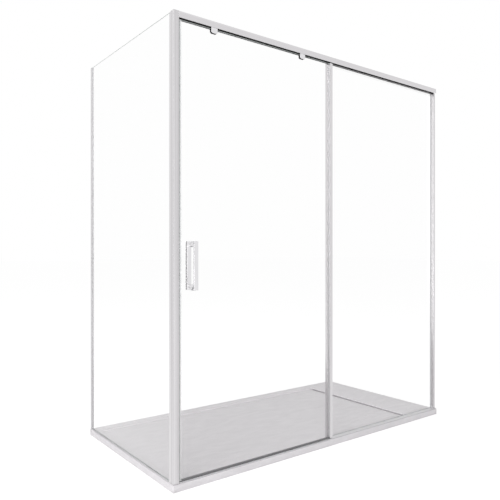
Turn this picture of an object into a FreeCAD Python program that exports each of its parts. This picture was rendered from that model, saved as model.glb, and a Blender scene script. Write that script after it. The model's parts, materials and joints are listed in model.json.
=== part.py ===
"""Shower enclosure: tray, corner post, side glass, fixed glass, top rail and a sliding door on four rollers.

Millimetres. The origin is the centre of the tray's underside. +X runs along the front from the open
corner to the wall, +Y from the front to the back wall, and +Z up.
"""

import FreeCAD, Part
import os
from types import SimpleNamespace

import Sketcher
from FreeCAD import Placement, Rotation, Vector

DOC = FreeCAD.newDocument("shower_enclosure")

# Driving sizes: name, value in millimetres, what it is
SIZES = [
    ("tray_width", 1800, "tray along the front"),
    ("tray_depth", 900, "tray from front to back wall"),
    ("overall_height", 1956, "floor to the top of the rail and post"),
    ("frame_inset", 4, "tray edge that shows outside the frame"),
    # Tray and its waste
    ("tray_height", 30, "tray thickness"),
    ("tray_corner", 3, "radius of the tray's upright corners"),
    ("rim_front", 45, "flat rim along the front"),
    ("rim_left", 45, "flat rim along the open side"),
    ("rim_back", 68, "flat rim along the back wall"),
    ("rim_right", 25, "flat rim along the side wall"),
    ("strip_width", 250, "drain strip, from the floor's low edge to the side wall"),
    ("floor_drop_high", 4, "floor below the rim at its high end"),
    ("floor_drop_low", 9, "floor below the rim at the drain strip"),
    ("trough_base", 14, "tray left under the trough"),
    ("ledge_width", 12, "ledge that carries the cover"),
    ("cover_thickness", 6, "drain cover"),
    ("cover_gap", 1, "joint round the drain cover"),
    ("foot_radius", 6, "round feet under the cover's free edge"),
    ("foot_inset", 12, "foot centre from the cover's free edge"),
    ("foot_spacing", 240, "between feet"),
    ("waste_radius", 40, "bore of the waste outlet"),
    ("waste_wall", 3, "wall of the outlet tube"),
    ("waste_lip", 12, "lip beyond the bore, on the trough floor"),
    ("waste_lip_height", 2, "thickness of that lip"),
    ("waste_foot", 2, "outlet tube's end above the tray's underside"),
    ("waste_clearance", 0.5, "tray hole round the outlet tube"),
    ("strainer_margin", 2, "lip left outside the strainer"),
    ("strainer_thickness", 2, "strainer plate"),
    ("strainer_hole", 4, "radius of a strainer hole"),
    ("strainer_ring", 13, "between the strainer's rings of holes"),
    # Glass and what holds it
    ("glass", 6, "toughened glass, all three panes"),
    ("gasket", 1.5, "glazing gasket on each face"),
    ("gasket_bite", 11, "gasket along the glass"),
    ("gasket_proud", 0.8, "gasket past the end of its channel"),
    ("edge_gap", 2, "glass edge to the floor of its channel"),
    ("profile_wall", 2, "wall of the aluminium profiles"),
    ("setting_block", 1, "pad under a pane's bottom edge"),
    ("setting_length", 100, "length of that pad"),
    ("setting_inset", 120, "pad from the pane's ends"),
    # Corner post and side panel
    ("post_width", 25, "corner post across the front"),
    ("post_cap", 2, "cap on the post"),
    ("channel_depth", 12, "channel for the side glass in the post"),
    ("side_profile_depth", 15, "side panel's wall profile, out from the back wall"),
    ("side_profile_lip", 4, "inner leg of that profile"),
    ("sill_height", 5, "sills on the tray rim"),
    ("sill_groove", 3, "groove in a sill for its glass"),
    ("sill_sealant", 1, "joint between a pane and its groove's sides"),
    # Top rail, seen from its end
    ("rail_height", 26, "rail face"),
    ("slot_width", 11.5, "slot that the hangers run in"),
    ("liner_nose", 1, "track liner in front of its ledge"),
    ("ledge_depth", 8, "ledge that carries the track"),
    ("ledge_lift", 1.5, "ledge above the rail's lip"),
    ("ledge_plate", 2, "ledge thickness"),
    ("divider", 2, "wall between track and fixed glass"),
    ("rail_back", 2.5, "back wall of the rail"),
    ("rail_glass_depth", 20, "fixed glass inside the rail"),
    ("liner_under", 1.2, "track liner below the ledge"),
    ("liner_leaf", 0.8, "track liner on top of the ledge"),
    ("crown_width", 2.4, "running rib on the liner"),
    ("crown_height", 1.2, "rib above the liner"),
    ("bracket_length", 30, "brackets in the ends of the rail"),
    ("bracket_plate", 3, "plate of the wall bracket"),
    ("bracket_gap", 0.3, "bracket to the rail's inner faces"),
    ("bracket_screw_rise", 10, "lower bracket screw above the rail's lip"),
    ("bracket_screw_step", 9, "between the two bracket screws"),
    ("bracket_screw_bite", 18, "screw inside the bracket at the post"),
    ("bracket_screw_head", 3.4, "radius of those screws' heads"),
    ("bracket_head_height", 1.7, "height of those heads"),
    ("wall_screw_step", 10, "between the wall bracket's two screws"),
    # Fixed panel
    ("door_opening", 868, "corner post to the fixed panel's edge"),
    ("edge_profile_width", 20, "profile on the fixed pane's free edge"),
    ("wall_profile_width", 14, "fixed pane's wall profile, out from the side wall"),
    ("wall_chamber", 14.5, "screw chamber in front of the wall profile's glass channel"),
    ("cover_clip", 2, "clip-on cover of the screw chamber"),
    ("pass_gap", 1.5, "door parts to the fixed panel as they pass"),
    ("interlock_gap", 0.3, "interlock seal to the door's lip"),
    ("interlock", 2, "space between the two interlocking lips"),
    ("wall_hole", 2.5, "radius of the wall screw holes"),
    ("wall_hole_end", 180, "first wall screw hole from a profile's end"),
    # Door
    ("door_travel", 800, "slide from shut to open"),
    ("magnet_strip", 2.7, "magnet strip on the post"),
    ("lead_gap", 0.3, "strip to the door's leading seal when shut"),
    ("lead_bulb", 4, "leading seal in front of the glass"),
    ("lead_leg", 8, "leading seal's legs along the glass"),
    ("lead_skin", 1.5, "thickness of those legs"),
    ("lead_foot", 2, "leading seal above the sill"),
    ("door_top_gap", 5, "door glass below the rail's lip"),
    ("door_seal_gap", 1, "bottom seal above the sill"),
    ("door_seal_height", 6.5, "bottom seal"),
    ("door_seal_grip", 2, "glass inside the bottom seal"),
    ("door_seal_skin", 1, "seal wall beside and below the glass"),
    ("trail_width", 19, "door's trailing profile across the front"),
    ("trail_gasket", 1, "gasket in the trailing profile"),
    ("trail_edge_gap", 1, "door glass edge to the floor of that profile"),
    ("trail_foot", 1.5, "trailing profile above the sill"),
    ("trail_top_gap", 4, "trailing profile below the rail's lip"),
    # Hangers and rollers
    ("hanger_from_lead", 172, "first hanger from the door's leading face"),
    ("hanger_from_trail", 205, "second hanger from the door's trailing face"),
    ("hanger_width", 32, "hanger plate"),
    ("hanger_plate", 5, "hanger plate and its cover, thickness"),
    ("hanger_cover", 1.2, "bright cover on the hanger's face"),
    ("hanger_round", 8, "rounded lower corners of a hanger"),
    ("hanger_gap", 0.5, "hanger behind the rail's face wall"),
    ("hanger_drop", 24, "hanger below the rail's lip"),
    ("hanger_pad", 0.5, "pads between hanger and glass"),
    ("clamp_plate", 2, "clamp plate behind the glass"),
    ("carriage_length", 64, "carriage bar in the rail"),
    ("carriage_height", 14, "carriage bar"),
    ("carriage_lift", 6, "carriage bar above the rail's lip"),
    ("axle_spacing", 40, "between a hanger's two axles"),
    ("axle_radius", 2.45, "roller axle"),
    ("axle_collar", 3.5, "radius of the axle's shoulder"),
    ("axle_head", 4, "radius of the axle's head"),
    ("running_gap", 0.05, "axle to bearing bore"),
    ("side_play", 0.2, "roller's play along its axle"),
    ("axle_shoulder", 0.5, "shoulder between carriage and roller"),
    ("bearing_radius", 5, "outside of the roller's bearing"),
    ("roller_root", 7.5, "radius of the running groove"),
    ("roller_flange", 1.1, "flange beyond the groove"),
    ("roller_width", 6, "roller"),
    ("rib_play", 0.4, "rib to the sides of the groove"),
    ("rolling_gap", 0.3, "roller to rib"),
    ("glass_hole", 5, "radius of holes in the door glass"),
    ("screw_radius", 2.5, "screws through the glass"),
    ("screw_head", 4.4, "radius of their countersunk heads"),
    ("screw_head_depth", 1.8, "depth of those heads"),
    ("screw_bite", 3, "hanger screw inside the hanger plate"),
    ("screw_clearance", 0.1, "hole round a screw"),
    ("stop_length", 22, "stop block"),
    ("bumper", 4, "rubber bumper on a stop"),
    ("bumper_radius", 5, "bumper"),
    ("stop_gap", 0.5, "bumper to carriage at the end of travel"),
    ("small_screw", 1.7, "radius of the small screws"),
    # Handle
    ("handle_from_lead", 37, "handle from the door's leading face"),
    ("handle_width", 20, "handle seen from the front"),
    ("handle_depth", 60, "handle out from the glass"),
    ("handle_length", 200, "handle's height"),
    ("handle_centre", 918, "middle of the handle above the floor"),
    ("handle_bar", 5, "grip bar and base bar"),
    ("handle_end", 24, "solid ends that join the bars"),
    ("handle_round", 2, "rounded front corners of the grip"),
    ("handle_screw_bite", 30, "screw inside the handle's end"),
    ("grub_screw", 2, "radius of the grub screws in the handle's side"),
    ("grub_recess", 1.5, "grub screw below the handle's side"),
    ("grub_from_glass", 27, "grub screw out from the glass"),
    ("inner_plate", 4, "plate on the inside of the glass"),
    # Bottom guide
    ("guide_length", 30, "guide blade along the door"),
    ("guide_back", 12, "blade from the fixed panel's edge"),
    ("guide_blade", 2, "blade thickness"),
    ("guide_play", 0.4, "blade to the seal's groove, each side"),
    ("guide_rise", 3.5, "blade above the sill"),
    ("guide_foot", 2, "foot let into the sill"),
    ("guide_foot_width", 12, "foot from front to back"),
    ("guide_foot_margin", 6, "foot beyond each end of the blade"),
    ("guide_foot_joint", 0.2, "sill pocket round the foot"),
]


class Size:
    """A length with its formula in the sheet's names, so sums of sizes stay bound to the sheet."""

    def __init__(self, formula, value):
        self.formula = formula
        self.value = value

    def joined(self, sign, other, value):
        return Size(f"({self.formula} {sign} {other.formula})", value)

    def __add__(self, other):
        other = as_size(other)
        return self.joined("+", other, self.value + other.value)

    def __sub__(self, other):
        other = as_size(other)
        return self.joined("-", other, self.value - other.value)

    def __mul__(self, other):
        other = as_size(other)
        return self.joined("*", other, self.value * other.value)

    def __truediv__(self, other):
        other = as_size(other)
        return self.joined("/", other, self.value / other.value)

    def __radd__(self, other):
        return as_size(other) + self

    def __rsub__(self, other):
        return as_size(other) - self

    def __rmul__(self, other):
        return as_size(other) * self

    def __neg__(self):
        return as_size(0) - self


def as_size(length):
    return length if isinstance(length, Size) else Size(f"{length:g}", float(length))


def fill_sheet(rows):
    """Write the sizes into the document's sheet and return them by name."""
    sheet = DOC.addObject("Spreadsheet::Sheet", "Sizes")
    sizes = SimpleNamespace()
    for row, (name, value, meaning) in enumerate(rows, start=1):
        sheet.set(f"A{row}", name)
        sheet.set(f"B{row}", str(value))
        sheet.set(f"C{row}", meaning)
        sheet.setAlias(f"B{row}", name)
        setattr(sizes, name, Size(f"Sizes.{name}", float(value)))
    DOC.recompute()
    return sizes


s = fill_sheet(SIZES)
PARTS = {}


# ---------------------------------------------------------------- ways of making a piece


def bind(thing, slot, length):
    thing.setExpression(slot, as_size(length).formula)


def move(thing, x=0, y=0, z=0):
    for axis, place in zip("xyz", (x, y, z)):
        bind(thing, f"Placement.Base.{axis}", place)


def part(name, thing):
    """Name a finished sub-part and list it for the hand-in."""
    thing.Label = name
    PARTS[name] = thing
    return thing


def box(name, x, y, z):
    """A block between two places on each axis."""
    block = DOC.addObject("Part::Box", name)
    for side, (low, high) in zip(("Length", "Width", "Height"), (x, y, z)):
        bind(block, side, as_size(high) - low)
    move(block, x[0], y[0], z[0])
    return block


TURN = {
    "x": Rotation(Vector(0, 1, 0), 90),
    "y": Rotation(Vector(1, 0, 0), -90),
    "z": Rotation(),
}


def rod(name, axis, start, length, radius):
    """A cylinder from a start point along one axis."""
    cylinder = DOC.addObject("Part::Cylinder", name)
    cylinder.Placement = Placement(Vector(), TURN[axis])
    bind(cylinder, "Radius", radius)
    bind(cylinder, "Height", length)
    move(cylinder, *start)
    return cylinder


def group(name, things):
    """Separate solids that share one name."""
    compound = DOC.addObject("Part::Compound", name)
    compound.Links = things
    return compound


def cut(name, base, tools):
    """The base with the tools taken away."""
    result = DOC.addObject("Part::Cut", name)
    result.Base = base
    result.Tool = tools[0] if len(tools) == 1 else group(f"{name}_tools", tools)
    return result


def fuse(name, things):
    result = DOC.addObject("Part::MultiFuse", name)
    result.Shapes = things
    result.Refine = True
    return result


def hold(sketch, kind, edge, place, axis):
    """Hold an edge's start at a place along one direction of the sketch."""
    place = as_size(place)
    if place.formula == "0":
        sketch.addConstraint(Sketcher.Constraint("PointOnObject", edge, 1, axis))
        return
    index = sketch.addConstraint(Sketcher.Constraint(kind, -1, 1, edge, 1, place.value))
    sketch.setExpression(f"Constraints[{index}]", place.formula)


def outline(sketch, corners):
    """A closed run of straight edges with each corner held from the sketch's origin."""
    first = sketch.GeometryCount
    points = [Vector(as_size(u).value, as_size(v).value, 0) for u, v in corners]
    following = points[1:] + points[:1]
    for start, end in zip(points, following):
        sketch.addGeometry(Part.LineSegment(start, end), False)
    last = len(corners) - 1
    for edge in range(len(corners)):
        after = 0 if edge == last else edge + 1
        sketch.addConstraint(Sketcher.Constraint("Coincident", first + edge, 2, first + after, 1))
    for edge, (u, v) in enumerate(corners):
        hold(sketch, "DistanceX", first + edge, u, -2)
        hold(sketch, "DistanceY", first + edge, v, -1)


def sketch_on(body, name, plane):
    sketch = body.newObject("Sketcher::SketchObject", name)
    support = next(f for f in body.Origin.OriginFeatures if f.Role == plane)
    sketch.AttachmentSupport = [(support, "")]
    sketch.MapMode = "FlatFace"
    return sketch


def extrusion(name, plane, outlines, length, place):
    """A profile: outlines drawn on a plane of the body and drawn out along the third axis.

    XY_Plane runs up, YZ_Plane runs along X, and XZ_Plane runs along Y.
    """
    body = DOC.addObject("PartDesign::Body", name)
    sketch = sketch_on(body, f"{name}_section", plane)
    for corners in outlines:
        outline(sketch, corners)
    pad = body.newObject("PartDesign::Pad", f"{name}_run")
    pad.Profile = sketch
    pad.Reversed = plane == "XZ_Plane"
    bind(pad, "Length", length)
    move(body, *place)
    return body


def turned(name, axis, corners, place):
    """A turned piece. Corners are (radius, place along the axis) in order round the half section."""
    body = DOC.addObject("PartDesign::Body", name)
    plane = "XZ_Plane" if axis == "z" else "XY_Plane"
    sketch = sketch_on(body, f"{name}_half", plane)
    if axis == "x":
        outline(sketch, [(along, radius) for radius, along in corners])
    else:
        outline(sketch, corners)
    spin = body.newObject("PartDesign::Revolution", f"{name}_turn")
    spin.Profile = sketch
    spin.ReferenceAxis = (sketch, ["H_Axis" if axis == "x" else "V_Axis"])
    spin.Angle = 360
    move(body, *place)
    return body


def rectangle(x, y):
    return [(x[0], y[0]), (x[1], y[0]), (x[1], y[1]), (x[0], y[1])]


def circle(sketch, x, y, radius):
    """A circle whose centre and radius are held by formulas."""
    x, y, radius = as_size(x), as_size(y), as_size(radius)
    number = sketch.addGeometry(Part.Circle(Vector(x.value, y.value, 0), Vector(0, 0, 1), radius.value))
    for kind, place, axis in (("DistanceX", x, -2), ("DistanceY", y, -1)):
        if place.value == 0:
            sketch.addConstraint(Sketcher.Constraint("PointOnObject", number, 3, axis))
            continue
        index = sketch.addConstraint(Sketcher.Constraint(kind, -1, 1, number, 3, place.value))
        sketch.setExpression(f"Constraints[{index}]", place.formula)
    index = sketch.addConstraint(Sketcher.Constraint("Radius", number, radius.value))
    sketch.setExpression(f"Constraints[{index}]", radius.formula)


def pocket_down(body, name, x, y, depth, start):
    """A rectangular pocket cut downwards from a height."""
    plan = sketch_on(body, f"{name}_plan", "XY_Plane")
    bind(plan, "AttachmentOffset.Base.z", start)
    outline(plan, rectangle(x, y))
    pocket = body.newObject("PartDesign::Pocket", name)
    pocket.Profile = plan
    bind(pocket, "Length", depth)
    return pocket


# ---------------------------------------------------------------- places shared by the pieces

left = -s.tray_width / 2
right = s.tray_width / 2
front = -s.tray_depth / 2
back = s.tray_depth / 2
deck = s.tray_height
top = s.overall_height
sill_top = deck + s.sill_height
rail_lip = top - s.rail_height

# The frame's outer faces, and the post's face towards the door
frame_left = left + s.frame_inset
frame_front = front + s.frame_inset
post_right = frame_left + s.post_width

# From the rail's face to its back: face wall, slot, liner, ledge, divider, glass channel, back wall
slot_back = s.profile_wall + s.slot_width
ledge_front = slot_back + s.liner_nose
ledge_back = ledge_front + s.ledge_depth
channel_front = ledge_back + s.divider
channel_back = channel_front + s.gasket + s.glass + s.gasket
frame_depth = channel_back + s.rail_back
frame_back = frame_front + frame_depth

# Fixed pane and its free edge
fixed_front = frame_front + channel_front + s.gasket
fixed_back = fixed_front + s.glass
fixed_left = post_right + s.door_opening
edge_front = fixed_front - s.gasket - s.profile_wall
edge_back = fixed_back + s.gasket + s.profile_wall

# Door pane, from the hanger plate that it hangs on
hanger_front = frame_front + s.profile_wall + s.hanger_gap
door_front = hanger_front + s.hanger_plate + s.hanger_pad
door_back = door_front + s.glass
clamp_back = door_back + s.hanger_pad + s.clamp_plate
door_lead = post_right + s.magnet_strip + s.lead_gap
door_glass_left = door_lead + s.lead_bulb
trail_left = fixed_left + s.profile_wall
door_trail = trail_left + s.trail_width
door_glass_right = door_trail - s.profile_wall - s.trail_edge_gap
door_glass_top = rail_lip - s.door_top_gap
door_seal_bottom = sill_top + s.door_seal_gap
door_glass_bottom = door_seal_bottom + s.door_seal_height - s.door_seal_grip


# ---------------------------------------------------------------- tray

# Places of the drain strip's cover and of the waste under it
strip_left = right - s.strip_width
cover_right = right - s.rim_right
cover_bottom = deck - s.cover_thickness
cover_y = (front + s.rim_front, back - s.rim_back)
waste_x = (strip_left + cover_right) / 2
waste_y = as_size(0)


def tray():
    """Flat tray: sloped floor, trough behind it for the waste, ledges and feet for the trough's cover."""
    body = DOC.addObject("PartDesign::Body", "tray_body")

    plan = sketch_on(body, "tray_plan", "XY_Plane")
    outline(plan, rectangle((left, right), (front, back)))
    slab = body.newObject("PartDesign::Pad", "tray_slab")
    slab.Profile = plan
    bind(slab, "Length", s.tray_height)

    # The floor falls from the left rim to the drain strip
    fall = sketch_on(body, "floor_fall", "XZ_Plane")
    bind(fall, "AttachmentOffset.Base.z", -(front + s.rim_front))
    outline(
        fall,
        [
            (left + s.rim_left, deck - s.floor_drop_high),
            (strip_left, deck - s.floor_drop_low),
            (strip_left, deck),
            (left + s.rim_left, deck),
        ],
    )
    floor = body.newObject("PartDesign::Pocket", "tray_floor")
    floor.Profile = fall
    bind(floor, "Length", s.tray_depth - s.rim_front - s.rim_back)

    # Recess for the cover, then the trough inside its ledges
    pocket_down(body, "cover_recess", (strip_left, cover_right), cover_y, s.cover_thickness, deck)
    trough_x = (strip_left, cover_right - s.ledge_width)
    trough_y = (cover_y[0] + s.ledge_width, cover_y[1] - s.ledge_width)
    pocket_down(body, "trough", trough_x, trough_y, deck - s.trough_base, deck)

    # Feet carry the cover's edge over the slot where water runs in
    feet = sketch_on(body, "feet_plan", "XY_Plane")
    bind(feet, "AttachmentOffset.Base.z", s.trough_base)
    for step in (-1, 0, 1):
        circle(feet, strip_left + s.foot_inset, s.foot_spacing * step, s.foot_radius)
    rise = body.newObject("PartDesign::Pad", "cover_feet")
    rise.Profile = feet
    bind(rise, "Length", cover_bottom - s.trough_base)

    # Hole for the outlet tube
    hole = sketch_on(body, "waste_plan", "XY_Plane")
    bind(hole, "AttachmentOffset.Base.z", s.trough_base)
    circle(hole, waste_x, waste_y, s.waste_radius + s.waste_wall + s.waste_clearance)
    outlet = body.newObject("PartDesign::Pocket", "waste_hole")
    outlet.Profile = hole
    bind(outlet, "Length", s.trough_base)

    # Upright corners, found on the finished solid by their place
    DOC.recompute()
    corners = [
        f"Edge{n}"
        for n, edge in enumerate(outlet.Shape.Edges, start=1)
        if len(edge.Vertexes) == 2
        and abs(edge.CenterOfMass.x) > right.value - 0.01
        and abs(edge.CenterOfMass.y) > back.value - 0.01
    ]
    rounding = body.newObject("PartDesign::Fillet", "tray_corners")
    rounding.Base = (outlet, corners)
    bind(rounding, "Radius", s.tray_corner)
    return body


part("tray", tray())

# Lift-off cover of the trough
part(
    "drain_cover",
    extrusion(
        "drain_cover_body",
        "XY_Plane",
        [
            rectangle(
                (strip_left, cover_right - s.cover_gap),
                (cover_y[0] + s.cover_gap, cover_y[1] - s.cover_gap),
            )
        ],
        s.cover_thickness,
        (0, 0, cover_bottom),
    ),
)

# Outlet tube with its lip on the trough floor
lip_radius = s.waste_radius + s.waste_lip
part(
    "waste_flange",
    turned(
        "waste_flange_body",
        "z",
        [
            (s.waste_radius, s.waste_foot),
            (s.waste_radius + s.waste_wall, s.waste_foot),
            (s.waste_radius + s.waste_wall, s.trough_base),
            (lip_radius, s.trough_base),
            (lip_radius, s.trough_base + s.waste_lip_height),
            (s.waste_radius, s.trough_base + s.waste_lip_height),
        ],
        (waste_x, waste_y, 0),
    ),
)

# Strainer plate on that lip, with rings of six and twelve holes round a middle one
strainer_bottom = s.trough_base + s.waste_lip_height
strainer = rod(
    "strainer_plate",
    "z",
    (waste_x, waste_y, strainer_bottom),
    s.strainer_thickness,
    lip_radius - s.strainer_margin,
)
holes = [
    rod("strainer_middle", "z", (waste_x, waste_y, strainer_bottom), s.strainer_thickness, s.strainer_hole)
]
for ring, count in ((1, 6), (2, 12)):
    for turn in range(count):
        direction = Rotation(Vector(0, 0, 1), 360 * turn / count).multVec(Vector(ring, 0, 0))
        spot = (
            waste_x + s.strainer_ring * round(direction.x, 6),
            waste_y + s.strainer_ring * round(direction.y, 6),
            strainer_bottom,
        )
        holes.append(rod(f"strainer_hole_{ring}_{turn}", "z", spot, s.strainer_thickness, s.strainer_hole))
part("waste_strainer", cut("strainer_cut", strainer, holes))


# ---------------------------------------------------------------- corner post and side panel

# Section of the post: a chamber, and a channel at the back for the side glass
channel_left = s.profile_wall
channel_right = channel_left + s.gasket + s.glass + s.gasket
channel_floor = frame_depth - s.channel_depth
chamber_left = s.profile_wall
chamber_right = s.post_width - s.profile_wall
chamber_back = channel_floor - s.profile_wall
post_outline = [
    (0, 0),
    (s.post_width, 0),
    (s.post_width, frame_depth),
    (channel_right, frame_depth),
    (channel_right, channel_floor),
    (channel_left, channel_floor),
    (channel_left, frame_depth),
    (0, frame_depth),
]
post_chamber = [
    (chamber_left, s.profile_wall),
    (chamber_right, s.profile_wall),
    (chamber_right, frame_depth - s.profile_wall),
    (channel_right + s.profile_wall, frame_depth - s.profile_wall),
    (channel_right + s.profile_wall, chamber_back),
    (chamber_left, chamber_back),
]
post_blank = extrusion(
    "post_blank",
    "XY_Plane",
    [post_outline, post_chamber],
    top - s.post_cap - deck,
    (frame_left, frame_front, deck),
)

# Two screws run from the post's chamber into the bracket in the rail's end
bracket_y = frame_front + (s.profile_wall + slot_back) / 2
lower_bracket_screw = rail_lip + s.bracket_screw_rise
bracket_screw_z = [lower_bracket_screw, lower_bracket_screw + s.bracket_screw_step]
part(
    "corner_post",
    cut(
        "post_cut",
        post_blank,
        [
            rod(
                f"post_hole_{n}",
                "x",
                (post_right - s.profile_wall, bracket_y, z),
                s.profile_wall,
                s.small_screw + s.screw_clearance,
            )
            for n, z in enumerate(bracket_screw_z)
        ],
    ),
)

# Cap over the chamber, level with the glass
part(
    "post_cap",
    extrusion(
        "post_cap_body",
        "XY_Plane",
        [
            [
                (0, 0),
                (s.post_width, 0),
                (s.post_width, frame_depth),
                (channel_right, frame_depth),
                (channel_right, channel_floor),
                (0, channel_floor),
            ]
        ],
        s.post_cap,
        (frame_left, frame_front, top - s.post_cap),
    ),
)

# Side pane, from the post's channel to the wall profile
side_left = frame_left + channel_left + s.gasket
side_right = side_left + s.glass
side_front = frame_front + channel_floor + s.edge_gap
side_back = back - s.profile_wall - s.edge_gap
pane_bottom = sill_top - s.sill_groove + s.setting_block
part("side_glass", box("side_pane", (side_left, side_right), (side_front, side_back), (pane_bottom, top)))

# Wall profile of the side pane, with four screw holes in its web
side_profile_width = channel_right + s.side_profile_lip
side_profile_front = back - s.side_profile_depth
side_web = s.side_profile_depth - s.profile_wall
side_profile_blank = extrusion(
    "side_profile_blank",
    "XY_Plane",
    [
        [
            (0, 0),
            (channel_left, 0),
            (channel_left, side_web),
            (channel_right, side_web),
            (channel_right, 0),
            (side_profile_width, 0),
            (side_profile_width, s.side_profile_depth),
            (0, s.side_profile_depth),
        ]
    ],
    top - sill_top,
    (frame_left, side_profile_front, sill_top),
)


def hole_heights(low, high):
    """Four screw holes: one at each end of a profile and two at the thirds between."""
    first = low + s.wall_hole_end
    last = high - s.wall_hole_end
    return [first + (last - first) * step / 3 for step in range(4)]


side_channel_middle = (side_left + side_right) / 2
part(
    "side_wall_profile",
    cut(
        "side_profile_cut",
        side_profile_blank,
        [
            rod(
                f"side_wall_hole_{n}",
                "y",
                (side_channel_middle, back - s.profile_wall, z),
                s.profile_wall,
                s.wall_hole,
            )
            for n, z in enumerate(hole_heights(sill_top, top))
        ],
    ),
)

# Sill under the side pane, a shallow gutter on the tray's rim
groove_left = channel_left + s.gasket - s.sill_sealant
groove_right = channel_right - s.gasket + s.sill_sealant
groove_floor = s.sill_height - s.sill_groove
part(
    "side_sill",
    extrusion(
        "side_sill_body",
        "XZ_Plane",
        [
            [
                (0, 0),
                (side_profile_width, 0),
                (side_profile_width, s.sill_height),
                (groove_right, s.sill_height),
                (groove_right, groove_floor),
                (groove_left, groove_floor),
                (groove_left, s.sill_height),
                (0, s.sill_height),
            ]
        ],
        back - frame_back,
        (frame_left, frame_back, deck),
    ),
)


def gasket_pair(name, pane, span, z, along):
    """Two gaskets, one on each face of a pane. Along is x or y: the way the gasket bites."""
    strips = []
    for side, (low, high) in enumerate(((pane[0] - s.gasket, pane[0]), (pane[1], pane[1] + s.gasket))):
        x, y = ((low, high), span) if along == "y" else (span, (low, high))
        strips.append(box(f"{name}_{side}", x, y, z))
    return strips


post_bite = (side_front, frame_back + s.gasket_proud)
wall_bite = (side_profile_front - s.gasket_proud, side_profile_front + s.gasket_bite)
side_gaskets = gasket_pair("side_gasket_post", (side_left, side_right), post_bite, (sill_top, top), "y")
side_gaskets += gasket_pair("side_gasket_wall", (side_left, side_right), wall_bite, (sill_top, top), "y")
part("side_glass_gaskets", group("side_gaskets", side_gaskets))


# ---------------------------------------------------------------- front sill and fixed panel

# Sill along the front: flat under the door, grooved under the fixed pane, with a pocket for the guide's foot
guide_right = fixed_left - s.guide_back
guide_left = guide_right - s.guide_length
door_middle = (door_front + door_back) / 2
foot_x = (guide_left - s.guide_foot_margin, guide_right + s.guide_foot_margin)
foot_y = (door_middle - s.guide_foot_width / 2, door_middle + s.guide_foot_width / 2)
foot_bottom = sill_top - s.guide_foot
sill_blank = box("sill_blank", (post_right, right), (frame_front, frame_back), (deck, sill_top))
sill_groove_tool = box(
    "sill_groove_tool",
    (fixed_left, right),
    (fixed_front - s.sill_sealant, fixed_back + s.sill_sealant),
    (deck + groove_floor, sill_top),
)
guide_pocket = box(
    "guide_pocket",
    (foot_x[0] - s.guide_foot_joint, foot_x[1] + s.guide_foot_joint),
    (foot_y[0] - s.guide_foot_joint, foot_y[1] + s.guide_foot_joint),
    (foot_bottom, sill_top),
)
guide_screw_x = [foot_x[0] + s.guide_foot_margin / 2, foot_x[1] - s.guide_foot_margin / 2]
guide_screw_z = deck + s.screw_clearance
guide_screw_bite = foot_bottom - guide_screw_z
sill_screw_holes = [
    rod(f"sill_screw_hole_{n}", "z", (x, door_middle, guide_screw_z), guide_screw_bite, s.small_screw)
    for n, x in enumerate(guide_screw_x)
]
part("sill", cut("sill_cut", sill_blank, [sill_groove_tool, guide_pocket] + sill_screw_holes))

# Profile on the fixed pane's free edge, with a lip towards the door
lip_front = clamp_back + s.pass_gap
edge_depth = edge_back - lip_front
edge_leg = edge_front - lip_front
part(
    "fixed_edge_profile",
    extrusion(
        "fixed_edge_body",
        "XY_Plane",
        [
            [
                (0, 0),
                (s.profile_wall, 0),
                (s.profile_wall, edge_leg),
                (s.edge_profile_width, edge_leg),
                (s.edge_profile_width, edge_leg + s.profile_wall),
                (s.profile_wall, edge_leg + s.profile_wall),
                (s.profile_wall, edge_depth - s.profile_wall),
                (s.edge_profile_width, edge_depth - s.profile_wall),
                (s.edge_profile_width, edge_depth),
                (0, edge_depth),
            ]
        ],
        rail_lip - sill_top,
        (fixed_left, lip_front, sill_top),
    ),
)

# Fixed pane, in the edge profile, the sill, the wall profile and the rail
fixed_glass_x = (fixed_left + s.profile_wall + s.edge_gap, right - s.profile_wall - s.edge_gap)
fixed_glass_top = rail_lip + s.rail_glass_depth
fixed_pane = (fixed_front, fixed_back)
part("fixed_glass", box("fixed_pane", fixed_glass_x, fixed_pane, (pane_bottom, fixed_glass_top)))

# Wall profile of the fixed pane: glass channel at the back, screw chamber in front
chamber_front = edge_front - s.wall_chamber
wall_depth = edge_back - chamber_front
web = s.wall_profile_width - s.profile_wall
leg_step = edge_front - chamber_front
wall_profile_blank = extrusion(
    "wall_profile_blank",
    "XY_Plane",
    [
        [
            (s.cover_clip, 0),
            (s.wall_profile_width, 0),
            (s.wall_profile_width, wall_depth),
            (0, wall_depth),
            (0, wall_depth - s.profile_wall),
            (web, wall_depth - s.profile_wall),
            (web, leg_step + s.profile_wall),
            (0, leg_step + s.profile_wall),
            (0, leg_step),
            (web, leg_step),
            (web, s.profile_wall),
            (s.cover_clip, s.profile_wall),
        ]
    ],
    rail_lip - sill_top,
    (right - s.wall_profile_width, chamber_front, sill_top),
)
chamber_middle = (chamber_front + s.profile_wall + edge_front) / 2
part(
    "front_wall_profile",
    cut(
        "wall_profile_cut",
        wall_profile_blank,
        [
            rod(
                f"front_wall_hole_{n}",
                "x",
                (right - s.profile_wall, chamber_middle, z),
                s.profile_wall,
                s.wall_hole,
            )
            for n, z in enumerate(hole_heights(sill_top, rail_lip))
        ],
    ),
)

# Clip-on cover of the screw chamber
clip_left = right - s.wall_profile_width
clip_x = (clip_left, clip_left + s.cover_clip)
part(
    "wall_profile_cover",
    box("wall_cover", clip_x, (chamber_front, edge_front), (sill_top, rail_lip)),
)

edge_bite = (fixed_glass_x[0], fixed_left + s.edge_profile_width + s.gasket_proud)
wall_channel_bite = (clip_left - s.gasket_proud, fixed_glass_x[1])
fixed_gaskets = gasket_pair("fixed_gasket_edge", fixed_pane, edge_bite, (sill_top, rail_lip), "x")
fixed_gaskets += gasket_pair("fixed_gasket_wall", fixed_pane, wall_channel_bite, (sill_top, rail_lip), "x")
part("fixed_glass_gaskets", group("fixed_gaskets", fixed_gaskets))

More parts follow.
